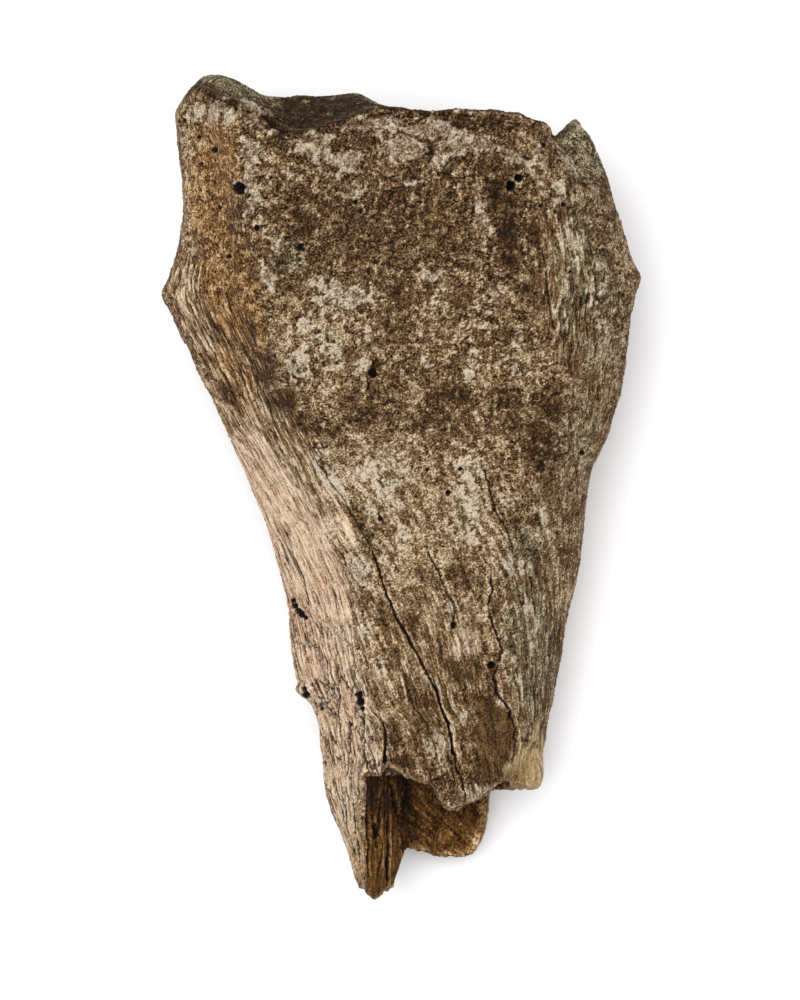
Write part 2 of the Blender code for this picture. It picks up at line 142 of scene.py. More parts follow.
SUN_BLEACH = (
    (-27, -4, 8, 18, 1, 26), (-18, -22, 8.2, 20, 1, 14), (-14, -48, 9, 18, 1, 8), (-34, 14, 4, 9, 0.45, 26),
    (-41, 32, 2.4, 8, 0.5, 24), (-10.4, -73, 3, 10, 0.42, 12), (13.2, -30.4, 3, 3.6, 0.5),
    (15.6, -61, 3.2, 2.2, 1, 35), (-12.6, -6, 2, 8, 0.6, 24), (-5.4, -55.6, 1.8, 3, 1),
    (22, -55.6, 1.2, 1.8, 0.9, 30),
)
FIBROUS = (
    (-41, 38, 5, 10, 0.8, 10), (-34, 28, 6, 13, 1, 24), (-26, 8, 8, 18, 1, 28), (40, 14, 5, 30, 0.45, 6),
    (27, -30, 7, 24, 0.4, 4), (37, 44, 3, 14, 0.45, 4), (33, 40, 7, 24, 0.6, 4), (6, -34, 13, 20, 0.45, 8),
    (2, 0, 14, 14, 0.35, 8),
)
RUST_STAIN = (
    (-37.4, 60, 5.2, 16, 1), (-34.2, 42, 5.4, 15, 1, 14), (-29.6, 33, 2.4, 8, 0.8, 20),
    (7.6, 53.6, 5, 4.2, 0.45), (10, 15, 8, 5, 0.3), (-33, 21, 4.4, 9, 0.6, 28), (3, -13.4, 1.4, 4, 0.6, 10),
    (-3.6, -31, 3.4, 5, 0.4, 10), (29.4, 10, 3, 10, 0.35), (33.4, -15, 2, 4, 0.5),
    (-9.8, -71, 2.6, 10, 0.7, 10),
)
MOSS_TINT = (
    (-33, 80.6, 10, 2.6, 1, -20), (-6, 77, 2.6, 1.4, 1), (36.6, 67.6, 5.4, 6.4, 0.8, 20),
    (37, 40, 8, 22, 0.6, 6), (36, 10, 5.4, 14, 0.45, 10), (25.6, -32, 6, 16, 0.7, 4),
    (-22, 46, 4.6, 5, 0.6), (-11.6, 38, 5.4, 4.4, 0.6), (-3.6, 2, 7, 6, 0.4), (13.4, -2, 5, 11, 0.45, 10),
    (8.6, 66.6, 2.6, 3, 0.6), (24, -14, 5, 8, 0.6),
)
FRESH_BREAK = (
    (26, -56.6, 4.2, 5.4, 1, -8), (27.6, -50.8, 1.4, 3.4, 0.6),
)
WORN_FACE = (
    (18.7, -51.6, 4.3, 9.2, 1, -6), (17.4, -44.6, 2.6, 3.2, 0.9), (16.6, -56, 3, 3.6, 0.8),
)
# Where the whole surface is darker or paler: its strength is how much, pit to grain being 1.
SHADES = (
    (0, 65, 24, 6.5, -0.09), (0, 51, 17, 9, -0.13), (23, 54, 8, 13, -0.11), (15, 73, 10, 2.4, -0.12),
    (-22, 52, 6, 8, -0.07), (-2, 0, 14, 12, 0.1), (2, -53, 7, 7, -0.04), (-14, 74.5, 11, 3.6, -0.22),
    (-22, -8, 7, 20, 0.08, 20), (-38, 62, 7, 12, -0.03), (-34, 38, 7, 12, -0.08, 20), (16, 30, 14, 9, 0.03),
    (7, 15, 16, 4, -0.05), (8, -24, 14, 22, 0.05, 8), (20, -8, 8, 14, 0.04), (31, 50, 5, 15, 0.07, 6),
    (-10, -70, 3, 10, 0.2, 10), (34, 10, 6, 20, 0.03, 4), (-12, -40, 5, 16, -0.02, 8),
    (27, 12, 5, 12, -0.06), (24, -42, 2, 8, 0.08, 6), (23.4, -58.2, 1.5, 2.4, -0.4),
    (25.3, -58.4, 0.6, 2.2, -0.3), (-15, 30, 7, 10, 0.11), (10, -30, 6, 6, 0.05),
    (-42.4, 56, 1.8, 18, 0.14), (-42.6, 41, 3.6, 4, 0.16), (-31.6, 53, 2.6, 7, -0.2, -4),
    (-27.8, 72, 3, 1.6, 0.14, -10), (-18, 70.4, 3, 1.6, -0.16, -20), (-23, 30, 4.6, 4, 0.12),
    (-15, 17.4, 2.2, 2.6, 0.16), (-20, 3.6, 2.2, 3.6, 0.16, 30), (-12.4, 0.6, 6, 3, 0.16),
    (-13.4, -8, 2.6, 8, 0.2, 32), (-9.6, -31, 4.4, 6.6, 0.18, 6), (-4.4, -42.4, 2, 3.4, 0.14),
    (18.2, -14, 1.6, 10, 0.13), (-28.6, 5, 1.8, 7, -0.12, 28), (-20.8, -24.6, 1.8, 5.4, -0.2, 16),
    (12, -57.6, 2.6, 4.4, -0.2), (7.6, -45.6, 3.4, 3, -0.1), (40.6, 27, 2.2, 8, 0.16, 4),
    (43.8, 45, 2.4, 3.4, 0.14, 20), (41.4, 62.4, 2.2, 3, -0.16, 20), (33.6, 49, 1.6, 2.6, -0.12),
    (33.6, 28, 1.6, 5, -0.12), (24, 33, 3, 1.8, -0.12), (12, 75, 12, 0.9, 0.14, -2),
    (-1.2, 65, 2.2, 3.4, 0.12), (8, 37, 3, 3.6, 0.1), (0, -11, 2, 3.4, 0.16, 10),
    (7, -13, 2.4, 3.4, 0.16, 10), (28.6, -4.6, 4, 3.4, 0.14), (32.6, -21, 2.4, 6, 0.16, 4),
    (-2, -38, 2, 3, 0.12), (16.2, 50.6, 2.2, 2.8, 0.16), (3.6, 47.2, 4, 1.8, 0.1),
    (25.6, 23.4, 2.6, 3.4, 0.16, -30), (2.4, 17, 2.2, 4.4, 0.14, 20), (27.4, 63, 1.8, 3.4, 0.14, 20),
    (-4, 1, 7, 8, 0.08, 10), (13, -2, 5, 9, 0.12, 12), (0, -18, 8, 6, 0.1, 10),
)
# Where a flake has come off: its strength is its depth.
SPALLS = (
    (18.7, -51.6, 4.2, 9, 0.5, -6), (-6, 22.6, 1.5, 2.6, 0.8, 10), (-30.4, 22, 3.4, 4.4, 0.3, 24),
    (-7.6, -9, 1.5, 5, 0.4, 26), (12.2, -18.2, 2.8, 1.8, 0.3, -20), (21.6, 47.6, 2, 5.8, 0.3, 4),
    (-17.6, 12.2, 3.2, 1.7, 0.35, -32), (18.2, -37.6, 1.1, 3, 0.45), (-2.4, -55.6, 2, 1.8, 0.3),
)

# Holes: (x, y, radius, depth). Those that touch make the open end of a crack.
HOLES = (
    (-32.1, 59.3, 1.25, 3.2), (23.4, 61.4, 0.8, 2), (21.8, 59.8, 0.95, 2.8), (-5.6, 22.6, 0.9, 1.4),
    (9.4, -1.2, 0.55, 1), (36, 6.8, 0.4, 0.8), (18, -35.6, 0.7, 1.2), (-8.4, -41.6, 0.7, 1.5),
    (-8, -43, 0.85, 1.8), (-7.6, -44.4, 0.5, 1.2), (-19.3, -40.5, 0.5, 1.3), (-18.9, -41.6, 0.65, 1.6),
    (-43, 73, 0.45, 0.8), (-37, 67, 0.6, 1), (-40.2, 69.6, 0.4, 0.8), (-39.6, 64.4, 0.35, 0.7),
    (-20, 47.6, 0.6, 1), (-28.6, 51.4, 0.55, 1), (-34.2, 45.8, 0.5, 0.9), (-36, 55.6, 0.4, 0.8),
    (-25.8, 61.4, 0.35, 0.7), (-22.9, 55.4, 0.3, 0.7), (-9, 56.6, 0.4, 0.8), (-8, 54.6, 0.35, 0.7),
    (32.2, 56.2, 0.4, 0.8), (30.6, 54.7, 0.4, 0.8), (27.8, 55.9, 0.35, 0.7), (33.8, 42.9, 0.35, 0.7),
    (10.4, -27.7, 0.6, 0.8), (-15.8, -44.5, 0.35, 0.7), (-20.2, 12.4, 0.35, 0.6), (28.4, 68, 0.4, 0.8),
    (-4.2, -6.4, 0.4, 0.7), (5.2, 3.4, 0.35, 0.6), (11.8, 3.6, 0.4, 0.6), (18.6, -4.6, 0.35, 0.6),
    (-21.5, -22.8, 0.5, 1.1), (-21.1, -23.9, 0.6, 1.3), (-20.5, -24.9, 0.65, 1.4), (-19.8, -25.7, 0.6, 1.2),
    (-19.1, -26.3, 0.45, 0.9),
)

# Cracks: (width, depth, and the points that each one runs through).
CRACKS = (
    (0.3, 0.5, (-17, 5.5), (-14.4, 1), (-10.9, -3.3), (-8.2, -8.7), (-5.8, -12.5)),
    (0.42, 1.3, (-5.8, -12.5), (-3.5, -20), (-1.2, -25.5), (1, -29.5), (3.2, -33.5), (5.4, -38)),
    (0.5, 1.6, (5.4, -38), (7.2, -41.2), (7.9, -44.1), (9.6, -47.7), (10.1, -51.3), (11, -55.7)),
    (0.5, 1.8, (11, -55.7), (12, -58.9), (12.8, -63.3), (12.9, -66)),
    (0.3, 0.5, (15.8, 5.5), (17.4, 0.5), (18.8, -5.1), (21, -8.3), (22.4, -12.1)),
    (0.35, 0.6, (17.6, -15.5), (18.2, -20.5), (17.4, -24.5), (18.4, -28.1), (20.2, -32.5), (19.4, -35.7)),
    (0.5, 0.8, (19.4, -35.7), (18.8, -38.5), (19.2, -41), (20.2, -42.6), (21.8, -44.6), (22.9, -48)),
    (0.3, 0.5, (4.8, -11.7), (7.4, -17.1), (9.4, -21.7), (10.4, -23.1), (10.8, -27.1)),
    (0.3, 0.6, (22.9, -48), (23, -52), (22.4, -56.6)),
    (0.36, 1.3, (-4.6, -44.7), (-3.4, -48.7), (-3.2, -52.7), (-3, -58.6)),
    (0.35, 0.6, (-2.8, -51.5), (-0.9, -51.1), (0.6, -50), (1, -49)),
    (0.35, 0.7, (-7.8, -43.3), (-7.6, -48), (-7.7, -53.2)),
    (0.35, 0.6, (5.6, -59.1), (7.4, -58.3), (8.8, -57.5)),
    (0.4, 0.8, (-18.4, -25.4), (-17.4, -27.4), (-16, -29.6)),
    (0.35, 0.5, (-15.2, 16.3), (-13.4, 15.6), (-12.4, 15.9)),
    (0.5, 0.8, (-4.4, -5.4), (-3.9, -6.4), (-3.6, -7.4)),
    (0.3, 0.5, (-13, -34), (-12.4, -40), (-12.6, -46), (-11.8, -52)),
    (0.3, 0.5, (-16.2, -30), (-14.8, -36), (-14.4, -41)),
    (0.3, 0.5, (-10.6, -46), (-10.4, -53), (-10.8, -60), (-9.6, -66)),
    (0.3, 0.5, (-14.6, -50), (-14, -56), (-12.6, -62), (-11, -68)),
    (0.3, 0.5, (-21.8, -12), (-19.6, -18), (-18.4, -24)),
    (0.3, 0.4, (28.6, 45), (29.2, 38), (30.4, 30)),
    (0.3, 0.5, (-9.4, -62), (-8.9, -69), (-8.3, -76)),
    (0.3, 0.5, (-12, -60), (-10.6, -68), (-9.2, -75)),
)
SPLINTER_GROOVES = (
    (0.5, 1, (-7, -62), (-6.9, -66), (-6.6, -72), (-6.6, -78)),
    (0.45, 1.3, (-2.8, -58.3), (-3.9, -62.5), (-4.5, -66), (-4.4, -70)),
    (1.1, 1.3, (-5.7, -66), (-5.4, -67.5), (-5, -69), (-4.8, -72)),
    (0.7, 1.6, (-2.4, -65), (-2.5, -70), (-2.5, -74), (-2.8, -80)),
    (0.4, 0.8, (-3.8, -71.5), (-4, -74.5), (-4.6, -77.5)),
    (0.75, 1.8, (-2.6, -56), (-1.9, -60), (-1, -63.5), (-0.2, -68), (0.6, -71.4)),
    (0.3, 0.6, (-5.6, -60), (-5.8, -64)),
)
# The knee end's valley behind its front rim, and the dark line under the rim of its middle. How dark they
# leave each place is painted shade.
END_GROOVES = (
    (3.4, 1.6, (-40.6, 80.2), (-36.5, 78), (-32.5, 75.8), (-28.5, 73.4), (-24.5, 71.6), (-20.5, 71)),
    (1.2, 0.5, (-6, 73.6), (-1, 73.9), (8, 74.2), (14, 73.6)),
)
# Thin crests: a line in the valley, and the edge between the front and the smooth peak at the right.
RIDGES = (
    (1, 0.45, (-35, 78.6), (-31.6, 76.8), (-28.6, 74.7), (-25.2, 72.8)),
    (1.1, 0.5, (30.8, 68.6), (32.6, 65.4), (34.6, 62)),
)
# The torn rim of the wall that lies on the table, paler than the marrow wall inside it.
PALE_RIM = (
    (3.6, 1, (16.9, -62), (17, -68.4), (16, -71.2), (13.4, -74), (10.2, -74.4), (7, -74)),
    (2, 0.7, (7, -74), (4.4, -72.8), (1.6, -71.8)),
)
RIM_TOP_Z = 14
# Corners that the smoothing wears down: x, y, radius, how far each is drawn out in X, Y and Z, its lowest Z.
NUDGES = (
    (35, 73.2, 4, 0, 0.4, 0, 0), (28.6, 71.6, 3, 0.9, 0.7, 0, 0), (26, -59, 4.6, 0.3, -1.8, 0, 18),
    (28, -57, 4, 0.7, 0, 0, 0), (-19.6, -41, 2.2, -1.3, 0, 0, 0), (-47, 38.4, 4, -0.8, 0, 0, 0),
    (46.6, 42, 4, 0.6, 0, 0, 0), (-8.4, 76.6, 4, 0, 0.5, 0, 0),
)

# Patterns, by the kind of place that they follow: the size of each one's lumps, its seed and its octaves.
PATTERNS = {
    "points": {
        "ragged": (3, 3, 3), "broad": (17, 11, 2), "knobs": (5, 12, 2), "billows": (6.5, 13, 2),
        "torn_lumps": (2.6, 14, 3), "marrow_lumps": ((4, 8, 4), 15, 3), "round_flakes": (1.7, 30, 4),
        "cloudy": (4, 31, 4), "soil_below": (9, 41, 3), "lime_below": (6, 42, 4),
        "rust_below": (14, 44, 2), "granules": (0.7, 53, 2), "crumbs": (1.05, 54, 2),
        "strips": ((0.8, 7, 0.8), 57, 2), "torn_fibres": ((0.9, 2, 0.9), 58, 2), "wander_x": (3.2, 61, 3),
        "wander_y": (3.2, 62, 3), "wobble_x": (1.6, 63, 2), "wobble_y": (1.6, 64, 2),
        "plate_areas": (7, 88, 2),
    },
    "lie": {
        "long_flakes": ((1.4, 4.6, 3), 29, 4), "streaky": ((1.3, 11, 4), 32, 3),
        "bleach_below": ((9, 40, 9), 43, 3), "fibres": ((0.75, 7, 2.5), 51, 2),
        "ribs": ((1.2, 16, 4), 52, 2), "splits": ((2.2, 24, 4), 81, 2), "split_areas": ((3, 14, 4), 82, 2),
    },
    "slanted": {
        "web": ((0.9, 5, 3), 55, 2),
    },
}
# How far the outlines of patches wander and lines wobble.
WANDER = 1.1
WOBBLE = 0.22
# What covers the bone: its patches, how far each pattern frays them, and the range over which it sets in.
COVERS = {
    "bleach": (SUN_BLEACH, {"streaky": 0.3, "flaky": 0.2}, (0.3, 0.75)),
    "rust": (RUST_STAIN, {"cloudy": 0.2, "flaky": 0.1}, (0.25, 0.8)),
    "moss": (MOSS_TINT, {"cloudy": 0.3}, (0.25, 0.8)),
    "soil": (SOIL_STAIN, {"cloudy": 0.3, "flaky": 0.15}, (0.2, 0.75)),
    "lime": (LIME_CRUST, {"flaky": 0.35, "cloudy": 0.2, "granules": 0.25}, (0.31, 0.62)),
    "fresh": (FRESH_BREAK, {"flaky": 0.1, "cloudy": 0.15, "streaky": 0.3}, (0.2, 0.8)),
    "worn": (WORN_FACE, {"flaky": 0.06}, (0.38, 0.5)),
}
# Where things set in along the bone: from the first Y, and in full from the second.
LONG_FLAKES_Y = (14, -6)
STRINGY_Y = (0, -60)
SPONGY_Y = (0, 45)
PLATES_Y = (-20, -34)
PALE_SPLINTER_Y = (-63, -76)
# The steps up onto crust, as values of the cloudy pattern.
CRUST_STEPS = (-0.25, 0.3)
# Pores: (cell, radius as a share of it, depth, seed, share of the cells that hold one).
PORES = ((3.1, 0.13, 0.5, 71, 0.35), (1.3, 0.2, 0.3, 75, 0.4))
# Plates between the drying checks: their size across, along and into the grain, and their seed.
PLATE_SIZE = (2, 5.5, 4)
PLATE_SEED = 84
# Passes over the heights that tell a place's pits and grains from its lumps.
LEVEL_PASSES = 12

# How strongly each pattern shows on the gritty and on the fibrous surface.
GRITTY = {"grit": 2.1, "crumb": 1.1, "mottle": 0.9}
FIBROUS_GRAIN = {"grit": 1.3, "strand": 1.8, "broad_strand": 1.1, "crumb": 0.4}
# Finishes, each laid over the last where its mask shows: its colours, from its pits up to its highest grains.
# The darker pit end of each finish is partly soil and partly painted shade.
FINISHES = (
    ("ground", (0.18, "pit"), (0.37, "soil"), (0.56, "tan"), (0.75, "sand"), (0.97, "cream")),
    ("rust", (0.12, "pit"), (0.31, "rust_dark"), (0.51, "rust"), (0.73, "rust_pale"), (0.95, "cream")),
    ("bleach", (0.07, "rust_dark"), (0.29, "bleached_dark"), (0.5, "bleached"), (0.92, "bleached_pale")),
    ("soil", (0.2, "pit"), (0.42, "soil_deep"), (0.63, "soil"), (0.82, "tan"), (1.0, "sand")),
    ("growth", (0.2, "pit"), (0.42, "soil_deep"), (0.62, "soil"), (0.88, "moss")),
    ("moss", (0.15, "pit"), (0.34, "moss_dark"), (0.54, "moss"), (0.76, "moss_pale"), (0.97, "cream")),
    ("worn", (0.1, "pit"), (0.38, "soil_deep"), (0.56, "worn"), (0.9, "tan")),
    ("lime", (0.14, "soil"), (0.34, "lime_dark"), (0.54, "lime"), (0.9, "lime_pale")),
    ("marrow", (0.1, "marrow_deep"), (0.34, "marrow"), (0.66, "marrow_light"), (0.84, "rust"),
        (1.0, "rust_pale")),
    ("torn", (0.1, "marrow"), (0.5, "tan"), (0.9, "bleached")),
    ("rim", (0.1, "marrow"), (0.45, "rust"), (0.75, "rust_pale"), (0.95, "bleached_pale")),
    ("fresh", (0.0, "fresh_shade"), (0.5, "fresh"), (1.0, "fresh_pale")),
    # The dark finish paints pit colour into pores, checks, cracks, grooves and holes: partly soil, partly
    # painted shade.
    ("dark", (0.0, "pit"), (1.0, "pit")),
)


def linear(hex_colour):
    """An sRGB hex colour as linear red, green, blue and alpha."""
    parts = [int(hex_colour[i:i + 2], 16) / 255 for i in (1, 3, 5)]
    return tuple(p / 12.92 if p <= 0.04045 else ((p + 0.055) / 1.055) ** 2.4 for p in parts) + (1.0,)


def ease(value, low, high):
    """0 up to low, 1 from high, and a smooth rise between. High may be under low."""
    t = np.clip((value - low) / (high - low), 0, 1)
    return t * t * (3 - 2 * t)


def in_parts(work, places):
    """What work gives for the places, done some at a time on each core."""
    parts = np.array_split(places.astype(np.float32), len(places) // 20000 + 1)
    with ThreadPoolExecutor() as pool:
        return np.concatenate(list(pool.map(work, parts)), axis=-1)


def scramble(i, j, k, seed):
    """An even random whole number for each lattice cell, the same on each run."""
    h = i * np.uint32(0x8DA6B343) ^ j * np.uint32(0xD8163841) ^ k * np.uint32(0xCB1AB31F)
    h = h ^ np.uint32(seed * 2654435761 & 0xFFFFFFFF)
    h = (h ^ h >> np.uint32(15)) * np.uint32(0x2C1B3C6D)
    h = (h ^ h >> np.uint32(12)) * np.uint32(0x297A2D39)
    return h ^ h >> np.uint32(15)


def three_of(number):
    """Three random values from 0 to 1 out of one random whole number."""
    parts = [number >> np.uint32(shift) & np.uint32(1023) for shift in (0, 10, 20)]
    return [part.astype(np.float32) / np.float32(1023) for part in parts]


def wave(p, seed):
    """Smooth noise with lumps one unit wide, mostly from -1 to 1."""
    low = np.floor(p)
    t = p - low
    s = t * t * t * (t * (t * 6 - 15) + 10)
    i, j, k = low.astype(np.int32).astype(np.uint32)
    slopes = {}
    for a, b, c in np.ndindex(2, 2, 2):
        g = three_of(scramble(i + np.uint32(a), j + np.uint32(b), k + np.uint32(c), seed))
        slopes[a, b, c] = sum((2 * g[n] - 1) * (t[n] - step) for n, step in enumerate((a, b, c)))
    for axis in (2, 1, 0):
        for key in [key for key in slopes if len(key) == axis + 1 and key[-1] == 0]:
            near, far = slopes.pop(key), slopes.pop(key[:-1] + (1,))
            slopes[key[:-1]] = near + s[axis] * (far - near)
    return 2 * slopes[()]


def noise(places, size, seed, octaves=1):
    """Fractal noise, mostly from -1 to 1, with lumps of the given size, one number or one for each axis."""
    weights = 0.55 ** np.arange(octaves)

    def work(part):
        p = np.ascontiguousarray((part / np.asarray(size, np.float32)).T)
        total = np.zeros(p.shape[1], np.float32)
        for n, weight in enumerate(weights):
            total += weight * wave(p * 2**n + np.float32(31.7 * (n + 1)), seed + 101 * n)
        return total / math.sqrt((weights**2).sum())

    return in_parts(work, places)


def nearest_seed(places, size, seed):
    """For seeds scattered one to a cell: how far the nearest two are, in cells, and the first one's value."""

    def work(part):
        p = np.ascontiguousarray((part / np.asarray(size, np.float32)).T)
        low = np.floor(p)
        i, j, k = low.astype(np.int32).astype(np.uint32)
        first = np.full(p.shape[1], 9.0, np.float32)
        second, value = first.copy(), first.copy()
        for a, b, c in np.ndindex(3, 3, 3):
            cell = [i + np.uint32(a), j + np.uint32(b), k + np.uint32(c)]
            number = scramble(*cell, seed)
            spot = three_of(number)
            away = [p[n] - low[n] - step + 0.95 - 0.9 * spot[n] for n, step in enumerate((a, b, c))]
            far = np.sqrt(sum(gap**2 for gap in away))
            closer = far < first
            second = np.where(closer, first, np.minimum(second, far))
            value = np.where(closer, three_of(number * np.uint32(0x9E3779B1))[1], value)
            first = np.where(closer, far, first)
        return np.stack([first, second, value])

    return in_parts(work, places)


class Skin:
    """The bone's surface as arrays: points and normals in millimetres, its edges, and what each place is."""

    def __init__(self, mesh):
        self.mesh = mesh
        self.count = len(mesh.vertices)
        self.points = self.read(mesh.vertices, "co", 3) / MM
        self.ends = np.empty(len(mesh.edges) * 2, np.int32)
        mesh.edges.foreach_get("vertices", self.ends)
        self.ends = self.ends.reshape(-1, 2)
        self.degree = np.bincount(self.ends.ravel(), minlength=self.count)[:, None]
        self.find_normals()

    def read(self, items, name, width):
        """One property of every item, as an array of rows."""
        values = np.empty(len(items) * width, np.float32)
        items.foreach_get(name, values)
        return values.reshape(-1, width).astype(float)

    def find_normals(self):
        """Writes the points to the mesh and reads the normals that they give."""
        self.mesh.vertices.foreach_set("co", (self.points * MM).astype(np.float32).ravel())
        self.mesh.update()
        self.normals = self.read(self.mesh.vertex_normals, "vector", 3)

    def around(self, values):
        """The mean of each place's neighbours."""
        a, b = self.ends.T
        summed = [
            np.bincount(a, values[b, n], self.count) + np.bincount(b, values[a, n], self.count)
            for n in range(values.shape[1])
        ]
        return np.stack(summed, 1) / self.degree

    def pattern(self, name):
        """One of the PATTERNS, over the whole surface."""
        where = next(kind for kind, table in PATTERNS.items() if name in table)
        return noise(getattr(self, where), *PATTERNS[where][name])

    def smooth(self, passes, share):
        """Eases each point towards its neighbours, passes times, by share of the way."""
        for _ in range(passes):
            self.points += share * (self.around(self.points) - self.points)

    def raise_by(self, height):
        """Moves the surface out along its normals by height, but never under the table."""
        self.points += self.normals * height[:, None]
        self.points[:, 2] = np.maximum(self.points[:, 2], 0)


def grain_place(points):
    """Where each point lies in the bone's grain: across it, along it and out from the core, in mm."""
    y = points[:, 1]
    stations = np.arange(y.min(), y.max() + 2, 2.0)
    middle, half = [], []
    for station in stations:
        near = points[np.abs(y - station) < 3.0]
        low, high = near.min(0), near.max(0)
        middle.append((low + high) / 2)
        half.append((high - low) / 2)
    middle, half = np.array(middle), np.array(half)
    across = []
    for n in (0, 2):
        away = points[:, n] - np.interp(y, stations, middle[:, n])
        across.append(away / np.interp(y, stations, half[:, n]))
    turn = GRAIN_TURN * np.minimum(y - GRAIN_TURN_FROM_Y, 0)
    angle = np.arctan2(across[1], across[0]) - turn
    out = np.hypot(*across)
    # The seam of the angle is put under the bone, where the grain is hidden.
    angle = (angle + math.pi / 2) % (2 * math.pi)
    return np.stack([angle * ARC_TO_MM, y, out * ARC_TO_MM], 1)


def patches(skin, table):
    """How far each upward place is inside a table's patches, with wandering outlines and soft edges."""
    total = np.zeros(skin.count)
    for x, y, wide, long, strength, *turn in table:
        near = np.flatnonzero(np.abs(skin.wandering - (x, y)).max(1) < 1.6 * max(wide, long))
        dx, dy = (skin.wandering[near] - (x, y)).T
        angle = math.radians(sum(turn))
        c, s = math.cos(angle), math.sin(angle)
        reach = np.hypot((dx * c + dy * s) / wide, (dy * c - dx * s) / long)
        total[near] = np.maximum(total[near], strength * ease(reach, 1.5, 0.4))
    return total * skin.upward


def one_by_one(skin, table):
    """Each patch's strength, with how far each upward place is inside it."""
    for x, y, wide, long, strength, *turn in table:
        yield strength, patches(skin, ((x, y, wide, long, 1, *turn),))


def cover(skin, name):
    """How fully one of the COVERS lies on each place, by its patches."""
    table, frays, fade = COVERS[name]
    amount = patches(skin, table)
    for pattern, share in frays.items():
        amount = amount + share * getattr(skin, pattern)
    return ease(amount, *fade)


def along_lines(skin, lines):
    """For a table of lines: each upward place's depth in them, and how dark they leave it."""
    cut, dark = np.zeros(skin.count), np.zeros(skin.count)
    for width, depth, *route in lines:
        route = np.array(route, float)
        low, high = route.min(0) - width - 1, route.max(0) + width + 1
        near = np.flatnonzero(((skin.wobbly > low) & (skin.wobbly < high)).all(1))
        p = skin.wobbly[near]
        far = np.full(len(near), np.inf)
        for a, b in zip(route, route[1:]):
            t = np.clip(((p - a) @ (b - a)) / ((b - a) @ (b - a)), 0, 1)
            far = np.minimum(far, np.linalg.norm(p - a - t[:, None] * (b - a), axis=1))
        ends = np.minimum(np.linalg.norm(p - route[0], axis=1), np.linalg.norm(p - route[-1], axis=1))
        # A line thins out over its last three millimetres.
        half = width / 2 * (0.4 + 0.6 * ease(ends, 0, 3))
        cut[near] = np.maximum(cut[near], depth * ease(far, 1.5 * half, 0.2 * half))
        dark[near] = np.maximum(dark[near], ease(far, 1.35 * half, 0.6 * half))
    return cut * skin.facing, dark * skin.facing


def ease_facets(skin, sizes):
    """Smooths the solid's facets away, then draws out the small corners that this wears down."""
    x, y = skin.points[:, 0:1], skin.points[:, 1:2]
    skin.smooth(2, 0.5)
    skin.smooth(sizes.smoothing, 0.5 * ease(y, BREAK_FROM_Y - 8, BREAK_FROM_Y + 2) * ease(y, 66, 56))
    # The knee end, and the right corner of the break, keep more of their shape than the shaft.
    skin.smooth(6, 0.5 * ease(y, 54, 60))
    skin.smooth(5, 0.5 * ease(y, -50, -54) * ease(x, 14, 20))
    for x, y, radius, dx, dy, dz, lowest in NUDGES:
        far = np.linalg.norm(skin.points[:, :2] - (x, y), axis=1)
        share = ease(far, radius, 0) * ease(skin.points[:, 2], lowest - 2, lowest + 2)
        skin.points += share[:, None] * (dx, dy, dz)
    skin.points[:, 2] = np.maximum(skin.points[:, 2], 0)
    skin.find_normals()


def find_regions(skin):
    """What each place is before any weathering: outer wall, broken face, marrow wall or growth surface."""
    x, y, z = skin.points.T
    ny, nz = skin.normals[:, 1], skin.normals[:, 2]
    sideways = (x - np.interp(y, HOLLOW_Y, HOLLOW_X)) / np.interp(y, HOLLOW_Y, HOLLOW_WIDE)
    upwards = (z - np.interp(y, HOLLOW_Y, HOLLOW_Z)) / np.interp(y, HOLLOW_Y, HOLLOW_DEEP)
    reach = np.hypot(sideways, upwards)
    skin.hollow_turn = np.arctan2(upwards, sideways) / (2 * math.pi) + 0.5
    skin.upward = ease(nz, -0.15, 0.15)
    skin.facing = ease(nz, 0.05, 0.3)
    skin.hollow = ease(reach, 1.18, 1.04) * (y < HOLLOW_Y[-1])
    skin.splinter = ease(x, SPLINTER_EDGE_X - 0.2, SPLINTER_EDGE_X + 0.3) * ease(nz, -0.3, 0)
    skin.splinter *= ease(x, SPLINTER_RIGHT_X + 1, SPLINTER_RIGHT_X) * (z < SPLINTER_TOP_Z)
    skin.splinter *= ease(y, SPLINTER_FROM_Y + 0.3, SPLINTER_FROM_Y - 0.3)
    skin.torn = ease(-ny, 0.45, 0.75) * ease(y, BREAK_FROM_Y, BREAK_FROM_Y - 4) * (1 - skin.hollow)
    skin.growth = ease(ny + 0.05 * skin.pattern("ragged"), 0.42, 0.62)
    skin.growth *= ease(y, KNEE_END_FROM_Y, KNEE_END_FROM_Y + 4)
    skin.inner = np.maximum(skin.hollow, skin.splinter)
    skin.outer = (1 - skin.inner) * (1 - skin.torn) * (1 - skin.growth)
    skin.lie = grain_place(skin.points)
    drift = [skin.pattern("wander_x"), skin.pattern("wander_y")]
    skin.wandering = skin.points[:, :2] + WANDER * np.stack(drift, 1)
    drift = [skin.pattern("wobble_x"), skin.pattern("wobble_y")]
    skin.wobbly = skin.points[:, :2] + WOBBLE * np.stack(drift, 1)


def shape_broadly(skin, sizes):
    """The bone's own lumps and hollows, wider than a few millimetres, and the spalls, with heights in mm."""
    height = skin.outer * (0.4 * skin.pattern("broad") + 0.13 * skin.pattern("knobs") - 0.1)
    height += skin.growth * (0.4 * skin.pattern("billows") - 0.15)
    height += skin.torn * 0.45 * skin.pattern("torn_lumps")
    height += skin.hollow * 0.4 * skin.pattern("marrow_lumps")
    height *= sizes.lumps / MM
    for depth, inside in one_by_one(skin, SPALLS):
        height -= depth * ease(inside, 0.45, 0.6)
    # The grooves at the knee end also give painted shade, which later darkens the colour along them.
    groove, skin.shaded = along_lines(skin, END_GROOVES)
    ridge, _ = along_lines(skin, RIDGES)
    skin.raise_by(height - groove + ridge)


def crests(values):
    """Sharp crests where smooth values pass through nought."""
    return 1 - 2.2 * np.abs(values)


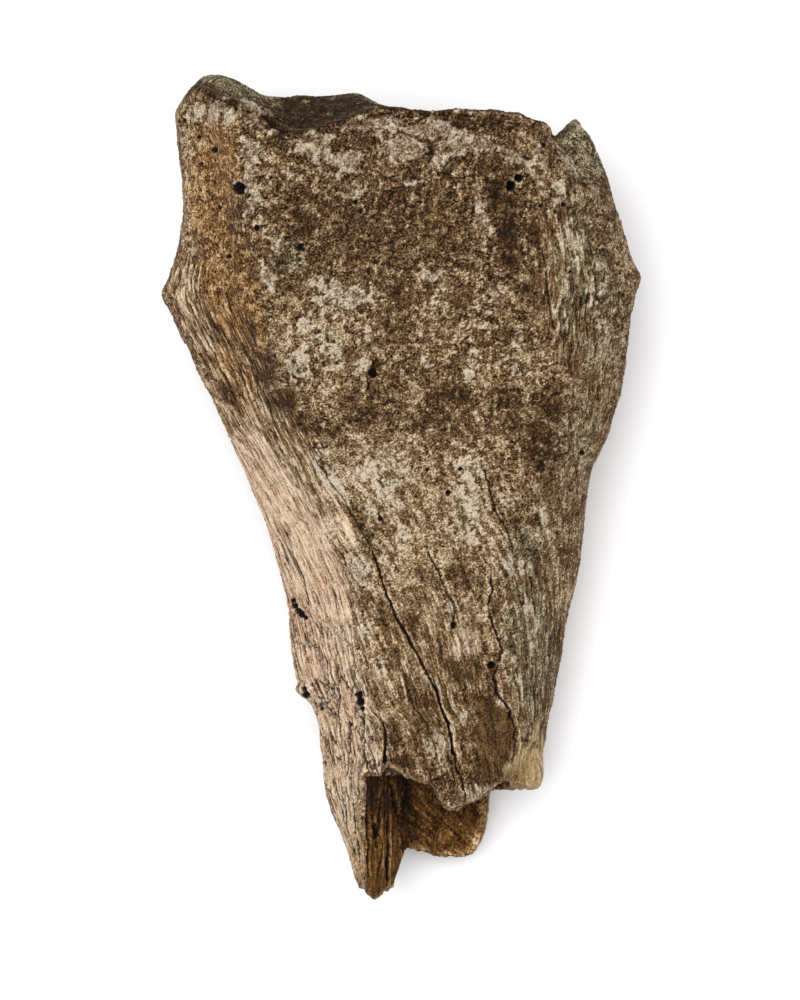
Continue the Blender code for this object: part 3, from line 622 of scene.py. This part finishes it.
def find_patterns(skin):
    """The patterns that relief, covers and colours all follow, and the shades from their table."""
    x, y, z = skin.points.T
    skin.fibrous = ease(patches(skin, FIBROUS), 0.2, 0.7)
    # Flakes are round over the spongy end and drawn out along the grain on the shaft.
    drawn = np.maximum(0.8 * ease(y, *LONG_FLAKES_Y), skin.fibrous)
    skin.flaky = (1 - drawn) * skin.pattern("round_flakes") + drawn * skin.pattern("long_flakes")
    skin.flaky /= np.hypot(1 - drawn, drawn)
    # The marrow wall has a slanting web of fibres, and the splinter's torn side has strips.
    skin.slanted = np.stack([x + y, x - y, z], 1)
    for name in ("cloudy", "streaky", "granules", "web", "strips"):
        setattr(skin, name, skin.pattern(name))
    skin.crumbs = crests(skin.pattern("crumbs"))
    skin.shade = sum(change * inside for change, inside in one_by_one(skin, SHADES))
    # Flakes are crust with crisp, ragged edges, a little proud of the bare, stained bone between them.
    skin.flakes = ease(skin.flaky + 0.45 * skin.cloudy + 0.12 * skin.granules + 1.5 * skin.shade, 0, 0.16)


def find_covers(skin):
    """How fully each stain, crust or kind of surface covers each place."""
    _, y, z = skin.points.T
    covers = {name: cover(skin, name) for name in COVERS}
    # Moss is kept out of the painted shade along the knee end's grooves.
    covers["moss"] *= 1 - 0.8 * skin.shaded
    covers["rim"] = ease(along_lines(skin, PALE_RIM)[0] + 0.25 * skin.flaky, 0.2, 0.8) * (z < RIM_TOP_Z)
    # Under the bone, where no patch is placed, stains and crust follow patterns alone. It is more bleached
    # towards the break and has more rust towards the knee end.
    below = 1 - skin.upward
    covers["soil"] += below * ease(skin.pattern("soil_below"), 0, 0.5) * 0.7
    covers["lime"] += below * ease(skin.pattern("lime_below"), 0.2, 0.5)
    covers["bleach"] += below * ease(skin.pattern("bleach_below") - y / 110, 0, 0.5)
    covers["rust"] += below * ease(skin.pattern("rust_below") + y / 160, 0.2, 0.6) * 0.6
    stringy = covers["bleach"] + skin.fibrous + 0.5 * ease(y, *STRINGY_Y)
    skin.stringy = np.clip(stringy, 0, 1) * skin.outer
    return covers


def fine_relief(skin, covers, sizes):
    """The height of fibres, grit, flakes and crust, in millimetres."""
    outer, stringy = skin.outer, skin.stringy
    ribs = crests(skin.pattern("ribs"))
    height = sizes.fibre / MM * stringy * (0.8 * skin.pattern("fibres") + 0.7 * ribs)
    height += sizes.grit / MM * outer * (1 - 0.5 * stringy) * (0.7 * skin.granules + 0.6 * skin.crumbs)
    height += outer * (1 - 0.4 * stringy) * 0.1 * skin.flakes
    for step in CRUST_STEPS:
        height += 0.08 * outer * ease(skin.cloudy + 0.12 * skin.flaky, step - 0.03, step + 0.03)
    height *= 1 - 0.6 * covers["worn"]
    height += 0.1 * covers["lime"] * outer - 0.12 * covers["soil"] * outer
    height += (skin.hollow + skin.growth) * 0.13 * (skin.granules + skin.crumbs)
    height += skin.hollow * 0.16 * skin.web
    height += skin.splinter * 0.25 * skin.strips
    height += skin.torn * 0.28 * skin.pattern("torn_fibres")
    return height


def sink_pores(skin, bleach, height, dark):
    """Small round holes, densest over the spongy end and on the growth surface."""
    spongy = ease(skin.points[:, 1], *SPONGY_Y) * (1 - 0.5 * bleach) * (skin.outer + 0.6 * skin.growth)
    for size, radius, depth, seed, share in PORES:
        first, _, value = nearest_seed(skin.points, size, seed)
        hole = ease(first, radius, radius * 0.4) * (value < share * spongy)
        height -= depth * hole
        # Pores are painted dark: partly soil, partly painted shade.
        np.maximum(dark, 0.8 * hole, out=dark)


def split_by_drying(skin, bleach, height, dark):
    """Thin splits along the grain, and the gaps between plates on the bleached shaft."""
    check = ease(np.abs(skin.pattern("splits")), 0.11, 0.04)
    check = check * ease(skin.pattern("split_areas"), 0, 0.3) * skin.stringy
    places = skin.lie * (1, 1, 0.3) + 0.5 * skin.granules[:, None]
    first, second, _ = nearest_seed(places, PLATE_SIZE, PLATE_SEED)
    gaps = ease(second - first, 0.18, 0.05) * ease(skin.pattern("plate_areas"), -0.4, 0.1)
    gaps *= bleach * ease(skin.points[:, 1], *PLATES_Y) * skin.outer
    height -= 0.3 * check + 0.35 * gaps
    # Checks and plate gaps are painted dark: partly soil, partly painted shade.
    np.maximum(dark, np.maximum(0.75 * check, 0.85 * gaps), out=dark)


def open_cracks(skin, share, height, dark):
    """Cracks, the splinter's grooves and the larger holes. Cracks go down by share of their depth."""
    cut, cut_dark = along_lines(skin, CRACKS)
    groove, groove_dark = along_lines(skin, SPLINTER_GROOVES)
    height -= cut * share * (1 - skin.inner) + groove * skin.inner
    # Cracks and the splinter's grooves are painted dark: partly soil, partly painted shade.
    np.maximum(dark, cut_dark * (1 - skin.inner), out=dark)
    np.maximum(dark, groove_dark * skin.inner, out=dark)
    for x, y, radius, depth in HOLES:
        away = skin.points[:, :2] - (x, y)
        near = np.flatnonzero(np.abs(away).max(1) < 2 * radius)
        far = np.linalg.norm(away[near], axis=1) / radius + 0.25 * skin.granules[near]
        height[near] -= depth * ease(far, 1.1, 0.35) * skin.upward[near]
        # A hole's inside is painted dark: painted shade, with some soil.
        dark[near] = np.maximum(dark[near], ease(far, 1.3, 1) * skin.upward[near])


def find_tone(skin):
    """How much paler each place is than its height alone would make it."""
    tone = 0.17 * (skin.flakes - 0.45) * (skin.outer + 0.8 * skin.growth)
    tone += 0.7 * skin.shade * (1 - skin.inner)
    # Painted shade darkens the knee end's grooves.
    tone += skin.hollow * (0.22 * skin.web + 0.2 * skin.flaky + 0.22 * skin.cloudy) - 0.3 * skin.shaded
    # The splinter's torn side is dark at its root, and its strips are paler towards its point.
    paler = 0.38 * ease(skin.points[:, 1], *PALE_SPLINTER_Y)
    return tone + skin.splinter * (0.16 * skin.strips - 0.4 + paler)


def weather(skin, sizes):
    """Grain, crust, pores, checks and cracks. Returns the masks that the material reads."""
    find_patterns(skin)
    covers = find_covers(skin)
    height = fine_relief(skin, covers, sizes)
    # Where pit colour is painted into pores, checks, cracks, grooves and holes: partly soil, partly painted
    # shade.
    dark = np.zeros(skin.count)
    sink_pores(skin, covers["bleach"], height, dark)
    split_by_drying(skin, covers["bleach"], height, dark)
    open_cracks(skin, sizes.cracks, height, dark)
    skin.raise_by(height)
    # Places lower than their smoothed surroundings take darker colours and proud grains paler: partly soil
    # and bare bone, partly painted shade.
    level = height[:, None]
    for _ in range(LEVEL_PASSES):
        level = skin.around(level)
    return {
        "bleach": covers["bleach"] * skin.outer,
        "rust": covers["rust"] * skin.outer,
        "moss": covers["moss"],
        "soil": covers["soil"] * skin.outer,
        "lime": covers["lime"] * (1 - skin.inner) * (1 - 0.7 * covers["worn"]),
        "worn": covers["worn"] * skin.outer,
        "fresh": covers["fresh"] * skin.upward * (1 - skin.hollow),
        "rim": covers["rim"] * skin.hollow,
        "marrow": skin.inner,
        "torn": skin.torn,
        "growth": skin.growth,
        "grain": np.maximum(skin.stringy, 0.8 * skin.splinter + 0.6 * skin.hollow),
        "dark": dark,
        "relief": 0.5 + (height - level[:, 0]) / (sizes.relief / MM) + find_tone(skin),
    }


def write_attributes(skin, masks):
    """Keeps on the mesh what its material reads."""
    for name, values in masks.items():
        layer = skin.mesh.attributes.new(name, "FLOAT", "POINT")
        layer.data.foreach_set("value", np.clip(values, 0, 1).astype(np.float32))
    layer = skin.mesh.attributes.new("lie", "FLOAT_VECTOR", "POINT")
    layer.data.foreach_set("vector", skin.lie.astype(np.float32).ravel())


def lay_flat(skin):
    """Gives each region a chart on the map for baking: walls unrolled, ends and splinter pressed flat."""
    corners = np.empty(len(skin.mesh.loops), np.int32)
    skin.mesh.loops.foreach_get("vertex_index", corners)
    corners = corners.reshape(-1, 4)
    x, y, z = skin.points.T
    flat = {
        "outer": (skin.lie[:, 0] / (2 * math.pi * ARC_TO_MM), y),
        "growth": (x, z),
        "hollow": (skin.hollow_turn, y),
        "torn": (x, z),
        "splinter": (y, x),
    }
    kind = np.argmax([getattr(skin, name)[corners].mean(1) for name in CHARTS], axis=0)
    uv = np.empty(corners.shape + (2,))
    for n, (name, (left, bottom, wide, high)) in enumerate(CHARTS.items()):
        mine = corners[kind == n]
        across, along = (values[mine] for values in flat[name])
        if name in UNROLLED:
            # A face on the seam takes all its corners from one side of it.
            across = across + (across < across.max(1, keepdims=True) - 0.5)
        uv[kind == n, :, 0] = left + wide * (across - across.min()) / np.ptp(across)
        uv[kind == n, :, 1] = bottom + high * (along - along.min()) / np.ptp(along)
    layer = skin.mesh.uv_layers.new(name="OFBake")
    layer.uv.foreach_set("vector", uv.astype(np.float32).ravel())


def add(tree, kind, inputs=None, out=0, stops=None, **settings):
    """Adds a node with its settings, values, links and ramp stops, and returns one of its outputs."""
    made = tree.nodes.new("ShaderNode" + kind)
    for name, value in settings.items():
        setattr(made, name, value)
    for key, value in (inputs or {}).items():
        if isinstance(value, bpy.types.NodeSocket):
            tree.links.new(value, made.inputs[key])
        else:
            made.inputs[key].default_value = value
    if stops:
        ramp = made.color_ramp.elements
        ramp.remove(ramp[1])
        ramp[0].position, ramp[0].color = stops[0]
        for place, colour in stops[1:]:
            ramp.new(place).color = colour
    return made.outputs[out]


def old_dry_bone(colours, sizes):
    """Old dry bone left out on the ground: dead matte, stained brown by soil, with lime and bleached grain.

    The speckle of a third of a millimetre is what the eye reads as a pitted, gritty surface.
    """
    material = bpy.data.materials.new("old_dry_bone")
    material.use_nodes = True
    tree = material.node_tree
    shader = tree.nodes["Principled BSDF"]
    names = [name for name, *_ in FINISHES[1:]] + ["grain", "relief"]
    masks = {name: add(tree, "Attribute", out=2, attribute_name=name) for name in names}
    place = add(tree, "TexCoord", out=3)
    lie = add(tree, "Attribute", out=1, attribute_name="lie")
    along = add(tree, "VectorMath", {0: lie, 1: (1.0, 0.13, 0.5)}, operation="MULTIPLY")

    # Patterns: where each lies, one over the size of its lumps, its detail and how far it is twisted.
    fine = 1 / sizes.speck
    patterns = {
        "grit": (place, fine, 3.0, 0.4),
        "crumb": (place, fine / 2.2, 4.0, 0.9),
        "mottle": (place, fine / 7, 5.0, 0.8),
        "strand": (along, fine * MM, 4.0, 0.4),
        "broad_strand": (along, fine * MM / 3, 3.0, 0.4),
    }
    swings = {}
    for name, (where, scale, detail, twist) in patterns.items():
        cloud = add(tree, "TexNoise", {
            "Vector": where, "Scale": scale, "Detail": detail, "Roughness": 0.62, "Distortion": twist})
        swings[name] = add(tree, "Math", {0: cloud, 1: 0.5}, operation="SUBTRACT")
    surfaces = []
    for weights in (GRITTY, FIBROUS_GRAIN):
        total = 0.5
        for name, weight in weights.items():
            terms = {0: swings[name], 1: weight, 2: total}
            total = add(tree, "Math", terms, operation="MULTIPLY_ADD")
        surfaces.append(total)
    # The same pattern lifts the bump and sets the colour level, so the finest pits are painted darker too:
    # partly stain, partly painted shade.
    pattern = add(tree, "Mix", {0: masks["grain"], 2: surfaces[0], 3: surfaces[1]})
    level = add(tree, "Math", {0: masks["relief"], 1: pattern}, operation="ADD")
    level = add(tree, "Math", {0: level, 1: 0.5}, operation="SUBTRACT")

    colour = None
    for name, *stops in FINISHES:
        stops = [(at, getattr(colours, tone)[:]) for at, tone in stops]
        tones = add(tree, "ValToRGB", {0: level}, stops=stops)
        if colour:
            tones = add(tree, "Mix", {0: masks[name], 6: colour, 7: tones}, out=2, data_type="RGBA")
        colour = tones
    tree.links.new(colour, shader.inputs["Base Color"])

    rough = add(tree, "MapRange", {0: masks["fresh"], 1: 0.0, 2: 1.0, 3: 0.9, 4: 0.5})
    tree.links.new(rough, shader.inputs["Roughness"])
    shader.inputs["IOR"].default_value = 1.5
    shader.inputs["Specular IOR Level"].default_value = 0.15

    bump = add(tree, "Bump", {"Strength": 1.0, "Distance": sizes.bump, "Height": pattern})
    tree.links.new(bump, shader.inputs["Normal"])
    return material


def colour_prop(name, text, hex_colour):
    """A colour that the user can change."""
    return FloatVectorProperty(
        name=name, description=text, size=4, min=0, max=1, subtype="COLOR", default=linear(hex_colour))


def number_prop(name, text, value, unit="NONE"):
    """A number that the user can change."""
    return FloatProperty(name=name, description=text, default=value, unit=unit)


def size_prop(name, text, millimetres):
    """A length that the user can change."""
    return FloatProperty(
        name=name, description=text, default=millimetres * MM, min=0, unit="LENGTH", precision=6)


class BoneSizes(bpy.types.PropertyGroup):
    mesh_step: size_prop("Mesh step", "Distance between the points of the sculpted mesh", 0.26)
    lumps: size_prop("Lumps", "Height of the broad lumps of the bone's surface", 1.0)
    fibre: size_prop("Fibre", "Height of the weathered fibres", 0.13)
    grit: size_prop("Grit", "Height of the gritty, pitted surface", 0.12)
    relief: size_prop("Relief", "Change of height that takes the colour from pit to grain", 1.0)
    speck: size_prop("Speck", "Size of the finest specks of colour, the smallest that still shows", 0.36)
    bump: size_prop("Bump", "Depth of the finest pits, too small for the mesh", 0.22)
    cracks: number_prop("Cracks", "Depth of the cracks, as a share of the real ones", 0.8)
    smoothing: IntProperty(
        name="Smoothing", description="Passes that ease the solid's facets away", default=30)


class BoneColours(bpy.types.PropertyGroup):
    pit: colour_prop("Pit", "Soil and shade at the bottom of pores and cracks", "#150d07")
    soil_deep: colour_prop("Deep soil", "The darkest soil stains", "#38240f")
    soil: colour_prop("Soil", "Bone stained by soil", "#51381d")
    tan: colour_prop("Tan", "Lightly stained bone", "#70563b")
    sand: colour_prop("Sand", "Worn grains of stained bone", "#98805e")
    cream: colour_prop("Cream", "Bare grains of bone that stand proud", "#cebda2")
    rust_dark: colour_prop("Dark rust", "Iron stain in the hollows of the grain", "#53361a")
    rust: colour_prop("Rust", "Iron stained bone of the outer face", "#835f36")
    moss_dark: colour_prop("Dark moss", "Dried algae in the hollows", "#463b29")
    moss: colour_prop("Moss", "Grey green dried algae", "#6a5d43")
    moss_pale: colour_prop("Pale moss", "Grains proud of the dried algae", "#938669")
    bleached_dark: colour_prop("Dark bleached", "Hollows of the bleached grain", "#94745a")
    bleached: colour_prop("Bleached", "Bone bleached by the sun", "#c0a184")
    bleached_pale: colour_prop("Pale bleached", "The palest strands of bleached bone", "#e2cfb4")
    lime_dark: colour_prop("Dark lime", "Hollows of the lime crust", "#6f5b45")
    lime: colour_prop("Lime", "Grey lime crust", "#97866f")
    lime_pale: colour_prop("Pale lime", "The palest grains of the crust", "#ccbda6")
    rust_pale: colour_prop("Pale rust", "Worn grains of the iron stained face", "#ab8552")
    worn: colour_prop("Worn", "The smooth brown face that a spall left over the break", "#5e4324")
    marrow: colour_prop("Marrow", "Wall of the marrow hollow and the torn splinter", "#442a0e")
    marrow_light: colour_prop("Light marrow", "Grains of the marrow wall", "#6d481e")
    marrow_deep: colour_prop("Deep marrow", "Shade and soil in the marrow wall", "#1d1209")
    fresh: colour_prop("Fresh", "Dense waxy bone of the newest break", "#a98d62")
    fresh_pale: colour_prop("Pale fresh", "The palest places of the newest break", "#d2bf9c")
    fresh_shade: colour_prop("Fresh shade", "Darker grain of the newest break", "#765a34")


class TableSettings(bpy.types.PropertyGroup):
    camera_height: number_prop("Camera height", "Height of the camera over the table", 5.0, "LENGTH")
    frame_height: size_prop("Frame height", "What the picture's height takes in, at the bone's edges", 200.0)
    edge_height: size_prop("Edge height", "Height of the bone's edges over the table", 24.0)
    middle_x: number_prop("Middle X", "What the camera looks at", -0.0002, "LENGTH")
    middle_y: number_prop("Middle Y", "What the camera looks at", -0.0027, "LENGTH")
    table_size: number_prop("Table size", "Side of the table", 12.0, "LENGTH")
    key_power: number_prop("Key light", "Strength of the soft light at the upper left", 2.3)
    key_height: number_prop("Key height", "Angle over the table", 1.3, "ROTATION")
    key_turn: number_prop("Key side", "Angle round the table", 2.5, "ROTATION")
    key_spread: number_prop("Key spread", "Width of the light", 0.9, "ROTATION")
    sky_low: number_prop("Low sky", "Strength of the light from the horizon", 0.56)
    sky_high: number_prop("High sky", "What the light from overhead adds", 0.7)
    table_colour: colour_prop("Table", "The pale table", "#f5f5f6")


def placed(context, name, data):
    """A new object in the scene with this mesh, light or camera."""
    made = bpy.data.objects.new(name, data)
    context.scene.collection.objects.link(made)
    return made


def changed(context, mesh, kind, **settings):
    """The mesh that a modifier makes of this one."""
    holder = placed(context, "holder", mesh)
    modifier = holder.modifiers.new(kind, kind)
    for name, value in settings.items():
        setattr(modifier, name, value)
    graph = context.evaluated_depsgraph_get()
    made = bpy.data.meshes.new_from_object(holder.evaluated_get(graph))
    bpy.data.objects.remove(holder)
    return made


class BONE_OT_fragment(bpy.types.Operator):
    """Sculpt the bone fragment over its solid and give it its material"""

    bl_idname = "bone.fragment"
    bl_label = "Bone fragment"

    def execute(self, context):
        sizes, colours = context.scene.bone_sizes, context.scene.bone_colours
        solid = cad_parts[NODE].data.copy()
        rough = changed(context, solid, "REMESH", mode="VOXEL", voxel_size=2 * sizes.mesh_step)
        ease_facets(Skin(rough), sizes)
        mesh = changed(context, rough, "SUBSURF", levels=1, render_levels=1)
        mesh.name = "weathered_bone"
        skin = Skin(mesh)
        find_regions(skin)
        shape_broadly(skin, sizes)
        skin.find_normals()
        masks = weather(skin, sizes)
        skin.find_normals()
        write_attributes(skin, masks)
        lay_flat(skin)
        mesh.materials.clear()
        mesh.materials.append(old_dry_bone(colours, sizes))
        mesh.shade_smooth()
        bone = placed(context, "weathered_bone", mesh)
        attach(bone, "root")
        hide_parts(NODE)
        return {"FINISHED"}


class BONE_OT_table(bpy.types.Operator):
    """Lay the pale table and set the lights and the camera over it"""

    bl_idname = "bone.table"
    bl_label = "Table, light and camera"

    def execute(self, context):
        t = context.scene.bone_table
        half = t.table_size / 2
        mesh = bpy.data.meshes.new("table")
        corners = [(-half, -half, 0), (half, -half, 0), (half, half, 0), (-half, half, 0)]
        mesh.from_pydata(corners, [], [(0, 1, 2, 3)])
        table = placed(context, "table", mesh)
        paint = bpy.data.materials.new("matte_white_card")
        paint.use_nodes = True
        shader = paint.node_tree.nodes["Principled BSDF"]
        shader.inputs["Base Color"].default_value = t.table_colour
        shader.inputs["Roughness"].default_value = 0.95
        shader.inputs["Specular IOR Level"].default_value = 0.1
        mesh.materials.append(paint)

        sun = bpy.data.lights.new("key_light", "SUN")
        sun.energy = t.key_power
        sun.angle = t.key_spread
        key = placed(context, "key_light", sun)
        level = math.cos(t.key_height)
        towards = Vector((level * math.cos(t.key_turn), level * math.sin(t.key_turn), math.sin(t.key_height)))
        key.rotation_mode = "QUATERNION"
        key.rotation_quaternion = towards.to_track_quat("Z", "Y")

        world = bpy.data.worlds.new("soft_sky")
        context.scene.world = world
        world.use_nodes = True
        tree = world.node_tree
        upwards = add(tree, "SeparateXYZ", {0: add(tree, "TexCoord")}, out=2)
        high = add(tree, "Math", {0: upwards, 1: 0.0}, operation="MAXIMUM")
        high = add(tree, "Math", {0: high, 1: 2.0}, operation="POWER")
        power = add(tree, "Math", {0: high, 1: t.sky_high, 2: t.sky_low}, operation="MULTIPLY_ADD")
        back = tree.nodes["Background"]
        back.inputs["Color"].default_value = (1.0, 1.0, 1.0, 1.0)
        tree.links.new(power, back.inputs["Strength"])

        lens = bpy.data.cameras.new("camera")
        lens.sensor_width = 36.0
        lens.lens = lens.sensor_width * (t.camera_height - t.edge_height) / t.frame_height
        lens.clip_end = 3 * t.camera_height
        camera = placed(context, "camera", lens)
        camera.location = (t.middle_x, t.middle_y, t.camera_height)
        context.scene.camera = camera
        context.scene.view_settings.view_transform = "Standard"
        return {"FINISHED"}


class BONE_PT_panel(bpy.types.Panel):
    """Sizes, colours and steps of the bone fragment"""

    bl_label = "Bone fragment"
    bl_space_type = "VIEW_3D"
    bl_region_type = "UI"
    bl_category = "Bone"

    def draw(self, context):
        for group in (context.scene.bone_sizes, context.scene.bone_colours, context.scene.bone_table):
            box = self.layout.box()
            for name in group.__annotations__:
                box.prop(group, name)
        for operator in (BONE_OT_fragment, BONE_OT_table):
            self.layout.operator(operator.bl_idname)


CLASSES = (BoneSizes, BoneColours, TableSettings, BONE_OT_fragment, BONE_OT_table, BONE_PT_panel)
GROUPS = {"bone_sizes": BoneSizes, "bone_colours": BoneColours, "bone_table": TableSettings}


def register():
    for cls in CLASSES:
        bpy.utils.register_class(cls)
    for name, group in GROUPS.items():
        setattr(bpy.types.Scene, name, PointerProperty(type=group))


def unregister():
    for name in GROUPS:
        delattr(bpy.types.Scene, name)
    for cls in reversed(CLASSES):
        bpy.utils.unregister_class(cls)


def main():
    register()
    bpy.ops.bone.table()
    bpy.ops.bone.fragment()


if __name__ == "__main__":
    main()
